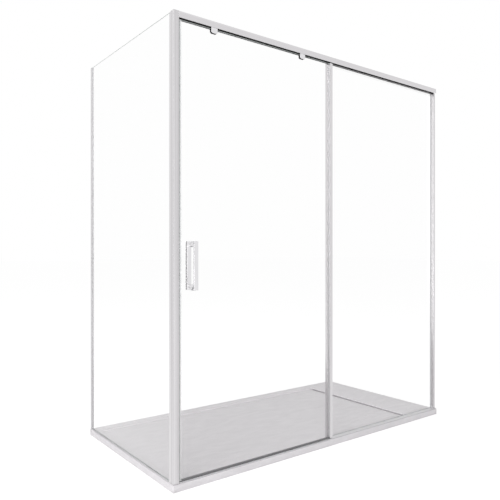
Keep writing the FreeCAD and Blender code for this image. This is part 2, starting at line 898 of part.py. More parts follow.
# Soft seal between the fixed panel's lip and the door's lip
interlock_left = fixed_left + s.profile_wall
interlock_x = (interlock_left, interlock_left + s.interlock - s.interlock_gap)
interlock_y = (lip_front + s.pass_gap, edge_front)
part("interlock_seal", box("interlock", interlock_x, interlock_y, (sill_top, rail_lip)))


def setting_pads(name, run, across, axis):
    """Two pads under a pane's bottom edge, one near each end."""
    z = (sill_top - s.sill_groove, pane_bottom)
    near = (run[0] + s.setting_inset, run[0] + s.setting_inset + s.setting_length)
    far = (run[1] - s.setting_inset - s.setting_length, run[1] - s.setting_inset)
    pads = []
    for n, span in enumerate((near, far)):
        x, y = (span, across) if axis == "x" else (across, span)
        pads.append(box(f"{name}_{n}", x, y, z))
    return pads


pads = setting_pads("side_pad", (side_front, side_back), (side_left, side_right), "y")
pads += setting_pads("fixed_pad", fixed_glass_x, (fixed_front, fixed_back), "x")
part("glass_setting_blocks", group("setting_blocks", pads))


# ---------------------------------------------------------------- top rail and track

# Rail section, drawn from its front lip: face, roof, divider with the ledge, glass channel, back wall
roof = s.rail_height - s.profile_wall
ledge_top = s.ledge_lift + s.ledge_plate
rail_outline = [
    (0, 0),
    (s.profile_wall, 0),
    (s.profile_wall, roof),
    (ledge_back, roof),
    (ledge_back, ledge_top),
    (ledge_front, ledge_top),
    (ledge_front, s.ledge_lift),
    (ledge_back, s.ledge_lift),
    (ledge_back, 0),
    (channel_front, 0),
    (channel_front, roof),
    (channel_back, roof),
    (channel_back, 0),
    (frame_depth, 0),
    (frame_depth, s.rail_height),
    (0, s.rail_height),
]
rail_place = (post_right, frame_front, rail_lip)
rail_length = right - post_right
part("top_rail", extrusion("rail_body", "YZ_Plane", [rail_outline], rail_length, rail_place))

# Liner wrapped round the ledge, with the rib that the rollers run on
crown_middle = (ledge_front + ledge_back) / 2 - s.side_play
crown_front = crown_middle - s.crown_width / 2
crown_back = crown_middle + s.crown_width / 2
liner_top = ledge_top + s.liner_leaf
crown_top = liner_top + s.crown_height
part(
    "track_liner",
    extrusion(
        "liner_body",
        "YZ_Plane",
        [
            [
                (slot_back, s.ledge_lift - s.liner_under),
                (ledge_back, s.ledge_lift - s.liner_under),
                (ledge_back, s.ledge_lift),
                (ledge_front, s.ledge_lift),
                (ledge_front, ledge_top),
                (ledge_back, ledge_top),
                (ledge_back, liner_top),
                (crown_back, liner_top),
                (crown_back, crown_top),
                (crown_front, crown_top),
                (crown_front, liner_top),
                (slot_back, liner_top),
            ]
        ],
        rail_length,
        rail_place,
    ),
)

# Gaskets between the rail and the fixed pane
rail_gasket_z = (rail_lip, fixed_glass_top)
part(
    "rail_glass_gaskets",
    group(
        "rail_gaskets",
        gasket_pair("rail_gasket", fixed_pane, fixed_glass_x, rail_gasket_z, "x"),
    ),
)

# Bracket in the rail's end at the post, and its two screws
bracket_depth = (
    frame_front + s.profile_wall + s.bracket_gap,
    frame_front + slot_back - s.bracket_gap,
)
bracket_z = (rail_lip + liner_top, rail_lip + roof - s.bracket_gap)
bracket_x = (post_right, post_right + s.bracket_length)
post_bracket = box("post_bracket_blank", bracket_x, bracket_depth, bracket_z)
part(
    "rail_post_bracket",
    cut(
        "post_bracket_cut",
        post_bracket,
        [
            rod(
                f"bracket_hole_{n}",
                "x",
                (post_right, bracket_y, z),
                s.bracket_screw_bite,
                s.small_screw,
            )
            for n, z in enumerate(bracket_screw_z)
        ],
    ),
)
head_front = -s.profile_wall - s.bracket_head_height
bracket_screws = [
    turned(
        f"bracket_screw_{n}",
        "x",
        [
            (0, head_front),
            (s.bracket_screw_head, head_front),
            (s.bracket_screw_head, -s.profile_wall),
            (s.small_screw, -s.profile_wall),
            (s.small_screw, s.bracket_screw_bite),
            (0, s.bracket_screw_bite),
        ],
        (post_right, bracket_y, z),
    )
    for n, z in enumerate(bracket_screw_z)
]
part("rail_bracket_screws", group("bracket_screws", bracket_screws))

# Angle bracket in the rail's end at the wall: a plate with two holes, and a leg under the roof
wall_bracket_y = (bracket_depth[0], frame_front + ledge_back - s.bracket_gap)
wall_bracket_z = (rail_lip + crown_top + s.bracket_gap, rail_lip + roof)
wall_plate = box("wall_bracket_plate", (right - s.bracket_plate, right), wall_bracket_y, wall_bracket_z)
wall_leg = box(
    "wall_bracket_leg",
    (right - s.bracket_length, right - s.bracket_plate),
    wall_bracket_y,
    (wall_bracket_z[1] - s.bracket_plate, wall_bracket_z[1]),
)
wall_bracket_height = (wall_bracket_z[0] + wall_bracket_z[1] - s.bracket_plate) / 2
wall_bracket_middle = (wall_bracket_y[0] + wall_bracket_y[1]) / 2
wall_bracket_holes = [wall_bracket_middle + s.wall_screw_step * step for step in (-0.5, 0.5)]
part(
    "rail_wall_bracket",
    cut(
        "wall_bracket_cut",
        fuse("wall_bracket_angle", [wall_plate, wall_leg]),
        [
            rod(
                f"wall_bracket_hole_{n}",
                "x",
                (right - s.bracket_plate, y, wall_bracket_height),
                s.bracket_plate,
                s.wall_hole,
            )
            for n, y in enumerate(wall_bracket_holes)
        ],
    ),
)


# ---------------------------------------------------------------- hangers, rollers and stops

# A hanger's places: along X its middle, and the heights that both share
hanger_x = {"left": door_lead + s.hanger_from_lead, "right": door_trail - s.hanger_from_trail}
hanger_bottom = rail_lip - s.hanger_drop
carriage_z = (rail_lip + s.carriage_lift, rail_lip + s.carriage_lift + s.carriage_height)
roller_y = frame_front + crown_middle - s.roller_width / 2
carriage_back = roller_y - s.side_play - s.axle_shoulder
axle_z = rail_lip + crown_top + s.rolling_gap + s.roller_root
clamp_screw_z = (hanger_bottom + door_glass_top) / 2
glass_y = (door_front, door_back)


def ring(name, outer, inner, y, x, z):
    """A round collar along Y."""
    return turned(
        name,
        "y",
        [(inner, 0), (outer, 0), (outer, y[1] - y[0]), (inner, y[1] - y[0])],
        (x, y[0], z),
    )


def countersunk(name, tip, face, x, z):
    """A countersunk screw along Y, from its tip to the face that its head is level with."""
    length = face - tip
    return turned(
        name,
        "y",
        [
            (0, 0),
            (s.screw_radius, 0),
            (s.screw_radius, length - s.screw_head_depth),
            (s.screw_head, length),
            (0, length),
        ],
        (x, tip, z),
    )


def countersink(name, face, thickness, x, z):
    """The hole that such a screw needs through a plate."""
    wide = s.screw_head + s.screw_clearance
    narrow = s.screw_radius + s.screw_clearance
    return turned(
        name,
        "y",
        [
            (0, 0),
            (narrow, 0),
            (narrow, thickness - s.screw_head_depth),
            (wide, thickness),
            (0, thickness),
        ],
        (x, face - thickness, z),
    )


def hanger_shape(name, middle, y, high):
    """An upright plate as wide as a hanger, from its foot up, with the two lower corners rounded."""
    half = s.hanger_width / 2
    plate = extrusion(
        name,
        "XZ_Plane",
        [rectangle((0, s.hanger_width), (0, high - hanger_bottom))],
        y[1] - y[0],
        (middle - half, y[0], hanger_bottom),
    )
    DOC.recompute()
    run = plate.Tip
    corners = [
        f"Edge{n}"
        for n, edge in enumerate(run.Shape.Edges, start=1)
        if edge.BoundBox.ZMax < 0.01 and edge.BoundBox.XLength < 0.01
    ]
    rounding = plate.newObject("PartDesign::Fillet", f"{name}_corners")
    rounding.Base = (run, corners)
    # The rounding is limited by the plate's width
    widest = s.hanger_width * 0.45
    radius = min(s.hanger_round.value, widest.value)
    bind(rounding, "Radius", Size(f"min({s.hanger_round.formula}; {widest.formula})", radius))
    return plate


def hanger(side, middle):
    """Hanger in one piece: plate over the glass, and the carriage bar that holds two axles in the rail."""
    plate_y = (hanger_front + s.hanger_cover, hanger_front + s.hanger_plate)
    plate = hanger_shape(f"hanger_plate_{side}", middle, plate_y, carriage_z[1])
    reach = s.carriage_length / 2
    bar_x = (middle - reach, middle + reach)
    bar = box(f"carriage_{side}", bar_x, (hanger_front, carriage_back), carriage_z)
    tools = [
        rod(
            f"axle_hole_{side}_{n}",
            "y",
            (middle + s.axle_spacing * step, hanger_front, axle_z),
            carriage_back - hanger_front,
            s.axle_radius,
        )
        for n, step in enumerate((-0.5, 0.5))
    ]
    tools.append(
        rod(
            f"clamp_hole_{side}",
            "y",
            (middle, plate_y[1] - s.screw_bite, clamp_screw_z),
            s.screw_bite,
            s.screw_radius,
        )
    )
    return cut(f"hanger_cut_{side}", fuse(f"hanger_fused_{side}", [plate, bar]), tools)


def clamp(side, middle):
    """Plate behind the glass, with a countersunk hole."""
    plate_y = (clamp_back - s.clamp_plate, clamp_back)
    plate = hanger_shape(f"clamp_plate_{side}", middle, plate_y, door_glass_top)
    return cut(
        f"clamp_cut_{side}",
        plate,
        [countersink(f"clamp_sink_{side}", clamp_back, s.clamp_plate, middle, clamp_screw_z)],
    )


def pad(name, middle, y):
    """Soft pad between a plate and the glass, open round the bush."""
    sheet = hanger_shape(f"{name}_sheet", middle, y, door_glass_top)
    hole = rod(f"{name}_hole", "y", (middle, y[0], clamp_screw_z), y[1] - y[0], s.glass_hole)
    return cut(name, sheet, [hole])


hanger_pads = []
hanger_bushes = []
hanger_screws = []
for side, middle in hanger_x.items():
    part(f"hanger_{side}", hanger(side, middle))
    hanger_cover_y = (hanger_front, hanger_front + s.hanger_cover)
    part(f"hanger_cover_{side}", hanger_shape(f"cover_plate_{side}", middle, hanger_cover_y, carriage_z[0]))
    part(f"hanger_clamp_{side}", clamp(side, middle))
    hanger_pads.append(pad(f"front_pad_{side}", middle, (door_front - s.hanger_pad, door_front)))
    hanger_pads.append(pad(f"back_pad_{side}", middle, (door_back, door_back + s.hanger_pad)))
    hanger_bushes.append(
        ring(
            f"hanger_bush_{side}",
            s.glass_hole,
            s.screw_radius + s.screw_clearance,
            glass_y,
            middle,
            clamp_screw_z,
        )
    )
    screw_tip = door_front - s.hanger_pad - s.screw_bite
    hanger_screws.append(countersunk(f"hanger_screw_{side}", screw_tip, clamp_back, middle, clamp_screw_z))
part("hanger_pads", group("pads_of_hangers", hanger_pads))
part("hanger_bushes", group("bushes_of_hangers", hanger_bushes))
part("hanger_screws", group("screws_of_hangers", hanger_screws))

# Rollers: a grooved tyre on a bearing, on an axle with a shoulder and a head
groove = s.crown_width + s.rib_play * 2
cheek = (s.roller_width - groove) / 2
roller_rim = s.roller_root + s.roller_flange
bearing_bore = s.axle_radius + s.running_gap
axle_start = hanger_front - roller_y
axles = []
for side, middle in hanger_x.items():
    for number, step in ((1, -0.5), (2, 0.5)):
        x = middle + s.axle_spacing * step
        part(
            f"roller_{side}_{number}",
            turned(
                f"roller_body_{side}_{number}",
                "y",
                [
                    (s.bearing_radius, 0),
                    (roller_rim, 0),
                    (roller_rim, cheek),
                    (s.roller_root, cheek),
                    (s.roller_root, cheek + groove),
                    (roller_rim, cheek + groove),
                    (roller_rim, s.roller_width),
                    (s.bearing_radius, s.roller_width),
                ],
                (x, roller_y, axle_z),
            ),
        )
        part(
            f"bearing_{side}_{number}",
            ring(
                f"bearing_body_{side}_{number}",
                s.bearing_radius,
                bearing_bore,
                (roller_y, roller_y + s.roller_width),
                x,
                axle_z,
            ),
        )
        head = s.roller_width + s.side_play
        axles.append(
            turned(
                f"axle_{side}_{number}",
                "y",
                [
                    (0, axle_start),
                    (s.axle_radius, axle_start),
                    (s.axle_radius, -s.side_play - s.axle_shoulder),
                    (s.axle_collar, -s.side_play - s.axle_shoulder),
                    (s.axle_collar, -s.side_play),
                    (s.axle_radius, -s.side_play),
                    (s.axle_radius, head),
                    (s.axle_head, head),
                    (s.axle_head, head + s.axle_shoulder),
                    (0, head + s.axle_shoulder),
                ],
                (x, roller_y, axle_z),
            )
        )
part("roller_axles", group("axles", axles))

# Stops under the rail's roof, with a rubber bumper towards the carriage
shut_end = hanger_x["left"] - s.carriage_length / 2 - s.stop_gap
open_end = hanger_x["right"] + s.carriage_length / 2 + s.door_travel + s.stop_gap
stop_y = bracket_depth
stop_z = (carriage_z[0], rail_lip + roof)
stop_height = stop_z[1] - stop_z[0]
stop_middle_y = (stop_y[0] + stop_y[1]) / 2
bumper_z = (carriage_z[0] + carriage_z[1]) / 2
stop_blocks = {
    "left": (shut_end - s.bumper - s.stop_length, shut_end - s.bumper),
    "right": (open_end + s.bumper, open_end + s.bumper + s.stop_length),
}
bumper_start = {"left": shut_end - s.bumper, "right": open_end}
bumpers = []
stop_screws = []
for side, block_x in stop_blocks.items():
    block = box(f"stop_block_{side}", block_x, stop_y, stop_z)
    screw_place = ((block_x[0] + block_x[1]) / 2, stop_middle_y, stop_z[0])
    hole = rod(f"stop_hole_{side}", "z", screw_place, stop_height, s.small_screw)
    part(f"stop_{side}", cut(f"stop_cut_{side}", block, [hole]))
    bumpers.append(
        rod(f"bumper_{side}", "x", (bumper_start[side], stop_middle_y, bumper_z), s.bumper, s.bumper_radius)
    )
    stop_screws.append(rod(f"stop_screw_{side}", "z", screw_place, stop_height, s.small_screw))
part("stop_bumpers", group("bumpers", bumpers))
part("stop_screws", group("screws_of_stops", stop_screws))


# ---------------------------------------------------------------- door

# Handle places, which the door glass's holes share
handle_x = (door_lead + s.handle_from_lead, door_lead + s.handle_from_lead + s.handle_width)
handle_middle = (handle_x[0] + handle_x[1]) / 2
handle_bottom = s.handle_centre - s.handle_length / 2
handle_screw_z = [
    handle_bottom + s.handle_end / 2,
    handle_bottom + s.handle_length - s.handle_end / 2,
]

# Door pane, with holes for the hangers and the handle
pane = box("door_pane", (door_glass_left, door_glass_right), glass_y, (door_glass_bottom, door_glass_top))
pane_holes = [
    rod(f"pane_hole_{side}", "y", (middle, door_front, clamp_screw_z), s.glass, s.glass_hole)
    for side, middle in hanger_x.items()
]
pane_holes += [
    rod(f"pane_handle_hole_{n}", "y", (handle_middle, door_front, z), s.glass, s.glass_hole)
    for n, z in enumerate(handle_screw_z)
]
part("door_glass", cut("door_pane_cut", pane, pane_holes))

# Leading seal, U-shaped round the pane's edge, and the magnet strip that it meets on the post
lead_width = s.lead_bulb + s.lead_leg
lead_depth = s.lead_skin + s.glass + s.lead_skin
lead_front = door_front - s.lead_skin
part(
    "door_magnet_seal",
    extrusion(
        "lead_seal_body",
        "XY_Plane",
        [
            [
                (0, 0),
                (lead_width, 0),
                (lead_width, s.lead_skin),
                (s.lead_bulb, s.lead_skin),
                (s.lead_bulb, lead_depth - s.lead_skin),
                (lead_width, lead_depth - s.lead_skin),
                (lead_width, lead_depth),
                (0, lead_depth),
            ]
        ],
        door_glass_top - sill_top - s.lead_foot,
        (door_lead, lead_front, sill_top + s.lead_foot),
    ),
)
part(
    "post_magnet_strip",
    box(
        "magnet_strip_body",
        (post_right, post_right + s.magnet_strip),
        (lead_front, lead_front + lead_depth),
        (sill_top, door_glass_top),
    ),
)

# Bottom seal: grips the glass from below, and its groove rides over the guide blade
seal_width = s.glass + s.door_seal_skin * 2
groove_half = s.guide_blade / 2 + s.guide_play
groove_low = seal_width / 2 - groove_half
groove_high = seal_width / 2 + groove_half
seal_shelf = s.door_seal_height - s.door_seal_grip
groove_roof = seal_shelf - s.door_seal_skin
seal_left = door_glass_left + s.lead_leg
part(
    "door_bottom_seal",
    extrusion(
        "bottom_seal_body",
        "YZ_Plane",
        [
            [
                (0, 0),
                (groove_low, 0),
                (groove_low, groove_roof),
                (groove_high, groove_roof),
                (groove_high, 0),
                (seal_width, 0),
                (seal_width, s.door_seal_height),
                (seal_width - s.door_seal_skin, s.door_seal_height),
                (seal_width - s.door_seal_skin, seal_shelf),
                (s.door_seal_skin, seal_shelf),
                (s.door_seal_skin, s.door_seal_height),
                (0, s.door_seal_height),
            ]
        ],
        trail_left - seal_left,
        (seal_left, door_front - s.door_seal_skin, door_seal_bottom),
    ),
)

# Trailing profile on the pane's other edge, with a lip that catches the fixed panel's
lip_place = s.interlock + s.profile_wall
trail_slot_front = door_front - s.trail_gasket - hanger_front
trail_slot_back = trail_slot_front + s.glass + s.trail_gasket * 2
trail_depth = trail_slot_back + s.profile_wall
trail_lip = edge_front - s.pass_gap - hanger_front
trail_web = s.trail_width - s.profile_wall
trail_z = (sill_top + s.trail_foot, rail_lip - s.trail_top_gap)
part(
    "door_edge_profile",
    extrusion(
        "trail_body",
        "XY_Plane",
        [
            [
                (0, 0),
                (s.trail_width, 0),
                (s.trail_width, trail_depth),
                (lip_place, trail_depth),
                (lip_place, trail_lip),
                (s.interlock, trail_lip),
                (s.interlock, trail_depth),
                (0, trail_depth),
                (0, trail_slot_back),
                (trail_web, trail_slot_back),
                (trail_web, trail_slot_front),
                (0, trail_slot_front),
            ]
        ],
        trail_z[1] - trail_z[0],
        (trail_left, hanger_front, trail_z[0]),
    ),
)
trail_bite = (trail_left, door_glass_right)
trail_run = (door_glass_bottom, trail_z[1])
trail_gaskets = [
    box("trail_gasket_front", trail_bite, (door_front - s.trail_gasket, door_front), trail_run),
    box("trail_gasket_back", trail_bite, (door_back, door_back + s.trail_gasket), trail_run),
]
part("door_edge_gaskets", group("trail_gaskets", trail_gaskets))

# Handle: one flat loop outside, and a flat plate inside, joined by two screws through the glass
grip_front = door_front - s.handle_depth
grub_y = door_front - s.grub_from_glass
grip = DOC.addObject("PartDesign::Body", "grip_body")
grip_side = sketch_on(grip, "grip_side", "YZ_Plane")
outline(grip_side, rectangle((0, s.handle_depth), (0, s.handle_length)))
outline(
    grip_side,
    rectangle(
        (s.handle_bar, s.handle_depth - s.handle_bar),
        (s.handle_end, s.handle_length - s.handle_end),
    ),
)
grip_pad = grip.newObject("PartDesign::Pad", "grip_width")
grip_pad.Profile = grip_side
bind(grip_pad, "Length", s.handle_width)
DOC.recompute()
front_corners = [
    f"Edge{n}"
    for n, edge in enumerate(grip_pad.Shape.Edges, start=1)
    if edge.BoundBox.YMax < 0.01 and edge.BoundBox.ZLength < 0.01
]
grip_round = grip.newObject("PartDesign::Fillet", "grip_corners")
grip_round.Base = (grip_pad, front_corners)
bind(grip_round, "Radius", s.handle_round)
move(grip, handle_x[0], grip_front, handle_bottom)
part(
    "handle_grip",
    cut(
        "grip_cut",
        grip,
        [
            rod(
                f"grip_hole_{n}",
                "y",
                (handle_middle, door_front - s.handle_screw_bite, z),
                s.handle_screw_bite,
                s.screw_radius,
            )
            for n, z in enumerate(handle_screw_z)
        ]
        + [
            rod(
                f"grub_hole_{n}",
                "x",
                (handle_x[0], grub_y, z),
                handle_middle - handle_x[0],
                s.grub_screw,
            )
            for n, z in enumerate(handle_screw_z)
        ],
    ),
)
inner_face = door_back + s.inner_plate
inner_blank = box(
    "inner_plate_blank",
    handle_x,
    (door_back, inner_face),
    (handle_bottom, handle_bottom + s.handle_length),
)
part(
    "handle_inner_plate",
    cut(
        "inner_plate_cut",
        inner_blank,
        [
            countersink(f"inner_sink_{n}", inner_face, s.inner_plate, handle_middle, z)
            for n, z in enumerate(handle_screw_z)
        ],
    ),
)
handle_bushes = [
    ring(f"handle_bush_{n}", s.glass_hole, s.screw_radius + s.screw_clearance, glass_y, handle_middle, z)
    for n, z in enumerate(handle_screw_z)
]
part("handle_bushes", group("bushes_of_handle", handle_bushes))
handle_screws = [
    countersunk(f"handle_screw_{n}", door_front - s.handle_screw_bite, inner_face, handle_middle, z)
    for n, z in enumerate(handle_screw_z)
]
part("handle_screws", group("screws_of_handle", handle_screws))

# Grub screws from the handle's side lock it on those screws
grub_start = handle_x[0] + s.grub_recess
grub_screws = [
    rod(
        f"grub_screw_{n}",
        "x",
        (grub_start, grub_y, z),
        handle_middle - s.screw_radius - grub_start,
        s.grub_screw,
    )
    for n, z in enumerate(handle_screw_z)
]
part("handle_grub_screws", group("grub_screws_of_handle", grub_screws))


# ---------------------------------------------------------------- bottom guide

# Blade on a foot let into the sill, with two small screws
guide_foot = box("guide_foot_blank", foot_x, foot_y, (foot_bottom, sill_top))
guide_blade = box(
    "guide_blade_blank",
    (guide_left, guide_right),
    (door_middle - s.guide_blade / 2, door_middle + s.guide_blade / 2),
    (sill_top, sill_top + s.guide_rise),
)
guide_holes = [
    rod(f"guide_hole_{n}", "z", (x, door_middle, foot_bottom), s.guide_foot, s.small_screw)
    for n, x in enumerate(guide_screw_x)
]
part("door_guide", cut("guide_cut", fuse("guide_fused", [guide_foot, guide_blade]), guide_holes))
guide_screws = [
    rod(f"guide_screw_{n}", "z", (x, door_middle, guide_screw_z), sill_top - guide_screw_z, s.small_screw)
    for n, x in enumerate(guide_screw_x)
]
part("guide_screws", group("screws_of_guide", guide_screws))


# ---------------------------------------------------------------- checks and STEP files

DOC.recompute()
failed = [thing.Name for thing in DOC.Objects if {"Invalid", "Error"} & set(thing.State)]
if failed:
    raise RuntimeError(f"these objects failed: {failed}")
for name, thing in PARTS.items():
    shape = thing.Shape
    if shape.isNull() or not shape.isValid() or not shape.Solids:
        raise RuntimeError(f"{name} has no valid solid")

os.makedirs("parts", exist_ok=True)
for name, thing in PARTS.items():
    thing.Shape.exportStep(os.path.join("parts", f"{name}.step"))
    print(f"{name}: {len(thing.Shape.Solids)} solids, {thing.Shape.Volume / 1000:.2f} cm3")
print(f"{len(PARTS)} nodes")
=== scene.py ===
"""Shower enclosure with a sliding door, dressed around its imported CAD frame. Metres, Z up.

The sections follow the enclosure as it is put together: tray, drain, posts and rail, glass, seals, track,
hangers, handle and screws, then the studio round it.
"""

import json
import math

import bmesh
import bpy
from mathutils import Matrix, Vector

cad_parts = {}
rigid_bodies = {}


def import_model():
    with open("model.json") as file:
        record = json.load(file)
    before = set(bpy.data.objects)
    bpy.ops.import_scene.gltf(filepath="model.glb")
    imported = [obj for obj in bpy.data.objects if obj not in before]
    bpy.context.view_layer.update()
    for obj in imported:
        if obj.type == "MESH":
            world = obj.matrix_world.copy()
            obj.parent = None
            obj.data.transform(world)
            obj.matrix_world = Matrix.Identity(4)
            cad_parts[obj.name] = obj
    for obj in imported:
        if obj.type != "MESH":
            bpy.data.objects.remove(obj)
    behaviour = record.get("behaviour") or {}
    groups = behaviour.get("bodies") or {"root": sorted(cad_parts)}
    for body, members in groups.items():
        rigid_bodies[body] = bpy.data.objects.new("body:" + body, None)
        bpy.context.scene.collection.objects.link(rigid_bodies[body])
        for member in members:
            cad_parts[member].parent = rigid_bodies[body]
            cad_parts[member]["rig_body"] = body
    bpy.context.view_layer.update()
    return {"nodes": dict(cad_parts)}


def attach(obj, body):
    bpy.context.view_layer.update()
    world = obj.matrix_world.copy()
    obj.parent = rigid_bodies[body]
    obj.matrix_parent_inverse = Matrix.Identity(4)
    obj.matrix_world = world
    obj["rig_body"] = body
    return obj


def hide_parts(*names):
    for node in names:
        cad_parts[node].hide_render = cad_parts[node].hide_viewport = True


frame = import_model()

# ---------------------------------------------------------------- tray and drain cover
# The tray is stone dust cast in resin, with a matt white gel coat that takes the mould's slate grain.
# It stands on the floor and carries everything else. The cover is the same casting, laid in over the trough.
# The mould leaves their arrises softly rounded.

tray_arris = 0.0028
cover_arris = 0.0012


def linear(hex_colour):
    """An sRGB hex value as the linear colour that a shader takes."""
    channels = [int(hex_colour[i : i + 2], 16) / 255 for i in (1, 3, 5)]
    return [c / 12.92 if c <= 0.04045 else ((c + 0.055) / 1.055) ** 2.4 for c in channels] + [1.0]


def add(tree, kind, settings=None, **inputs):
    """Add a node with its settings, and set or link its inputs.

    An input goes by its name, with _ for each space, or by its number: i0, i1 and so on.
    """
    node = tree.nodes.new(kind)
    for name, value in (settings or {}).items():
        setattr(node, name, value)
    for name, value in inputs.items():
        by_number = name[0] == "i" and name[1:].isdigit()
        socket = node.inputs[int(name[1:]) if by_number else name.replace("_", " ")]
        if isinstance(value, bpy.types.NodeSocket):
            tree.links.new(value, socket)
        else:
            socket.default_value = value
    return node


def empty_finish(name):
    """A new material, and its node tree with nothing in it."""
    material = bpy.data.materials.new(name)
    material.use_nodes = True
    material.node_tree.nodes.clear()
    return material, material.node_tree


def sealed(material, shader):
    """A finish with its shader joined to its output."""
    add(material.node_tree, "ShaderNodeOutputMaterial", Surface=shader.outputs[0])
    return material


def wear(finish, *pieces):
    """Give a finish to CAD nodes, by name, or to pieces made here."""
    for piece in pieces:
        mesh = (frame["nodes"][piece] if isinstance(piece, str) else piece).data
        mesh.materials.clear()
        mesh.materials.append(finish)


def merged(node):
    """A CAD node's shape as a bmesh, with its doubles merged and its flat faces whole."""
    shape = bmesh.new()
    shape.from_mesh(frame["nodes"][node].data)
    bmesh.ops.remove_doubles(shape, verts=shape.verts, dist=1e-6)
    bmesh.ops.dissolve_limit(shape, angle_limit=math.radians(1), verts=shape.verts, edges=shape.edges)
    return shape


def new_piece(name, shape=None):
    """A piece at the origin, with the mesh of a bmesh where one is given."""
    mesh = bpy.data.meshes.new(name)
    if shape:
        shape.to_mesh(mesh)
        shape.free()
    piece = bpy.data.objects.new(name, mesh)
    bpy.context.scene.collection.objects.link(piece)
    return piece


def stand_for(piece, node):
    """Let a piece stand for a CAD node: it rides on the node's body, and the node is hidden."""
    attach(piece, frame["nodes"][node]["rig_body"])
    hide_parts(node)


def eased(node, arris, finish):
    """Put a copy of a CAD node in its place, with its sharp arrises rounded."""
    piece = new_piece(f"{node}_eased", merged(node))
    rounding = piece.modifiers.new("arris", "BEVEL")
    rounding.width = arris
    rounding.segments = 3
    rounding.limit_method = "ANGLE"
    rounding.angle_limit = math.radians(40)
    rounding.miter_outer = "MITER_ARC"
    rounding.harden_normals = True
    piece.data.shade_smooth()
    wear(finish, piece)
    stand_for(piece, node)


def cast_mineral_resin():
    """Matt, slightly chalky white with riven ledges, and painted shade in their hollows: the eye sees faint
    streaks that run along the tray.
    """
    material, tree = empty_finish("cast_mineral_resin")
    place = add(tree, "ShaderNodeTexCoord").outputs["Object"]
    # Ledges 26 mm apart and about three times as long, as riven slate has
    ledge_pitch = 0.026
    ledge_height = 0.0009
    along = add(tree, "ShaderNodeMapping", Vector=place, Scale=(0.3, 1.0, 1.0)).outputs[0]
    ledges = add(
        tree,
        "ShaderNodeTexNoise",
        Vector=along,
        Scale=1 / ledge_pitch,
        Detail=6.0,
        Roughness=0.6,
        Distortion=0.5,
    ).outputs[0]
    steps = add(
        tree,
        "ShaderNodeMapRange",
        {"interpolation_type": "SMOOTHSTEP"},
        Value=ledges,
        From_Min=0.42,
        From_Max=0.58,
    )
    # Grit of the stone dust, 2.5 mm where the real one is 0.5 mm, so that it shows, and a tenth of a
    # ledge high
    grit_size = 0.0025
    grit_rise = 0.10
    grit = add(tree, "ShaderNodeTexNoise", Vector=place, Scale=1 / grit_size, Detail=2.0).outputs[0]
    height = add(
        tree,
        "ShaderNodeMath",
        {"operation": "MULTIPLY_ADD"},
        i0=grit,
        i1=grit_rise,
        i2=steps.outputs[0],
    )
    relief = add(tree, "ShaderNodeBump", Strength=0.6, Distance=ledge_height, Height=height.outputs[0])
    # The hollows between the ledges are a shade darker: painted shade
    tone = add(tree, "ShaderNodeValToRGB", Fac=ledges)
    tone.color_ramp.elements[0].position = 0.32
    tone.color_ramp.elements[0].color = linear("#D8D5D8")
    tone.color_ramp.elements[1].position = 0.66
    tone.color_ramp.elements[1].color = linear("#E2DFE2")
    rough = add(tree, "ShaderNodeMapRange", Value=grit, To_Min=0.46, To_Max=0.62)
    resin = add(
        tree,
        "ShaderNodeBsdfPrincipled",
        Base_Color=tone.outputs[0],
        Roughness=rough.outputs[0],
        IOR=1.5,
        Coat_Weight=0.2,
        Coat_Roughness=0.22,
        Normal=relief.outputs[0],
    )
    return sealed(material, resin)


mineral_resin = cast_mineral_resin()
eased("tray", tray_arris, mineral_resin)
eased("drain_cover", cover_arris, mineral_resin)

# ---------------------------------------------------------------- waste
# Outlet flange of moulded grey ABS, screwed under the trough, with a pressed stainless strainer laid on its
# lip. The cover hides both until it is lifted off.


def moulded(name, colour, roughness, grain, depth, gloss=0.5):
    """A moulded plastic or rubber: spark-eroded grain of the mould, and a slow drift in its sheen."""
    material, tree = empty_finish(name)
    place = add(tree, "ShaderNodeTexCoord").outputs["Object"]
    # The roughness drifts by this either way, over a length of twenty grains
    drift_span = 0.06
    drift_length = 20 * grain
    texture = add(tree, "ShaderNodeTexNoise", Vector=place, Scale=1 / grain, Detail=3.0, Roughness=0.55)
    drift = add(tree, "ShaderNodeTexNoise", Vector=place, Scale=1 / drift_length, Detail=2.0)
    relief = add(tree, "ShaderNodeBump", Strength=0.3, Distance=depth, Height=texture.outputs[0])
    rough = add(
        tree,
        "ShaderNodeMapRange",
        Value=drift.outputs[0],
        To_Min=roughness - drift_span,
        To_Max=roughness + drift_span,
    )
    plastic = add(
        tree,
        "ShaderNodeBsdfPrincipled",
        Base_Color=linear(colour),
        Roughness=rough.outputs[0],
        IOR=1.5,
        Specular_IOR_Level=gloss,
        Normal=relief.outputs[0],
    )
    return sealed(material, plastic)


def turned_stainless():
    """Stainless steel with fine tool marks left by the lathe or press, which spread its highlights."""
    material, tree = empty_finish("turned_stainless_steel")
    place = add(tree, "ShaderNodeTexCoord").outputs["Object"]
    # Tool marks 0.8 mm apart, coarser than the real 0.1 mm
    mark_pitch = 0.0008
    # The wave texture has one ring a metre at this scale
    ring_scale = 0.314
    marks = add(
        tree,
        "ShaderNodeTexWave",
        {"wave_type": "RINGS", "rings_direction": "SPHERICAL"},
        Vector=place,
        Scale=ring_scale / mark_pitch,
        Distortion=1.5,
        Detail=2.0,
    )
    relief = add(tree, "ShaderNodeBump", Strength=0.12, Distance=0.0001, Height=marks.outputs["Fac"])
    rough = add(tree, "ShaderNodeMapRange", Value=marks.outputs["Fac"], To_Min=0.2, To_Max=0.34)
    metal = add(
        tree,
        "ShaderNodeBsdfPrincipled",
        Base_Color=linear("#C6C4C1"),
        Metallic=1.0,
        Roughness=rough.outputs[0],
        Normal=relief.outputs[0],
    )
    return sealed(material, metal)


steel = turned_stainless()
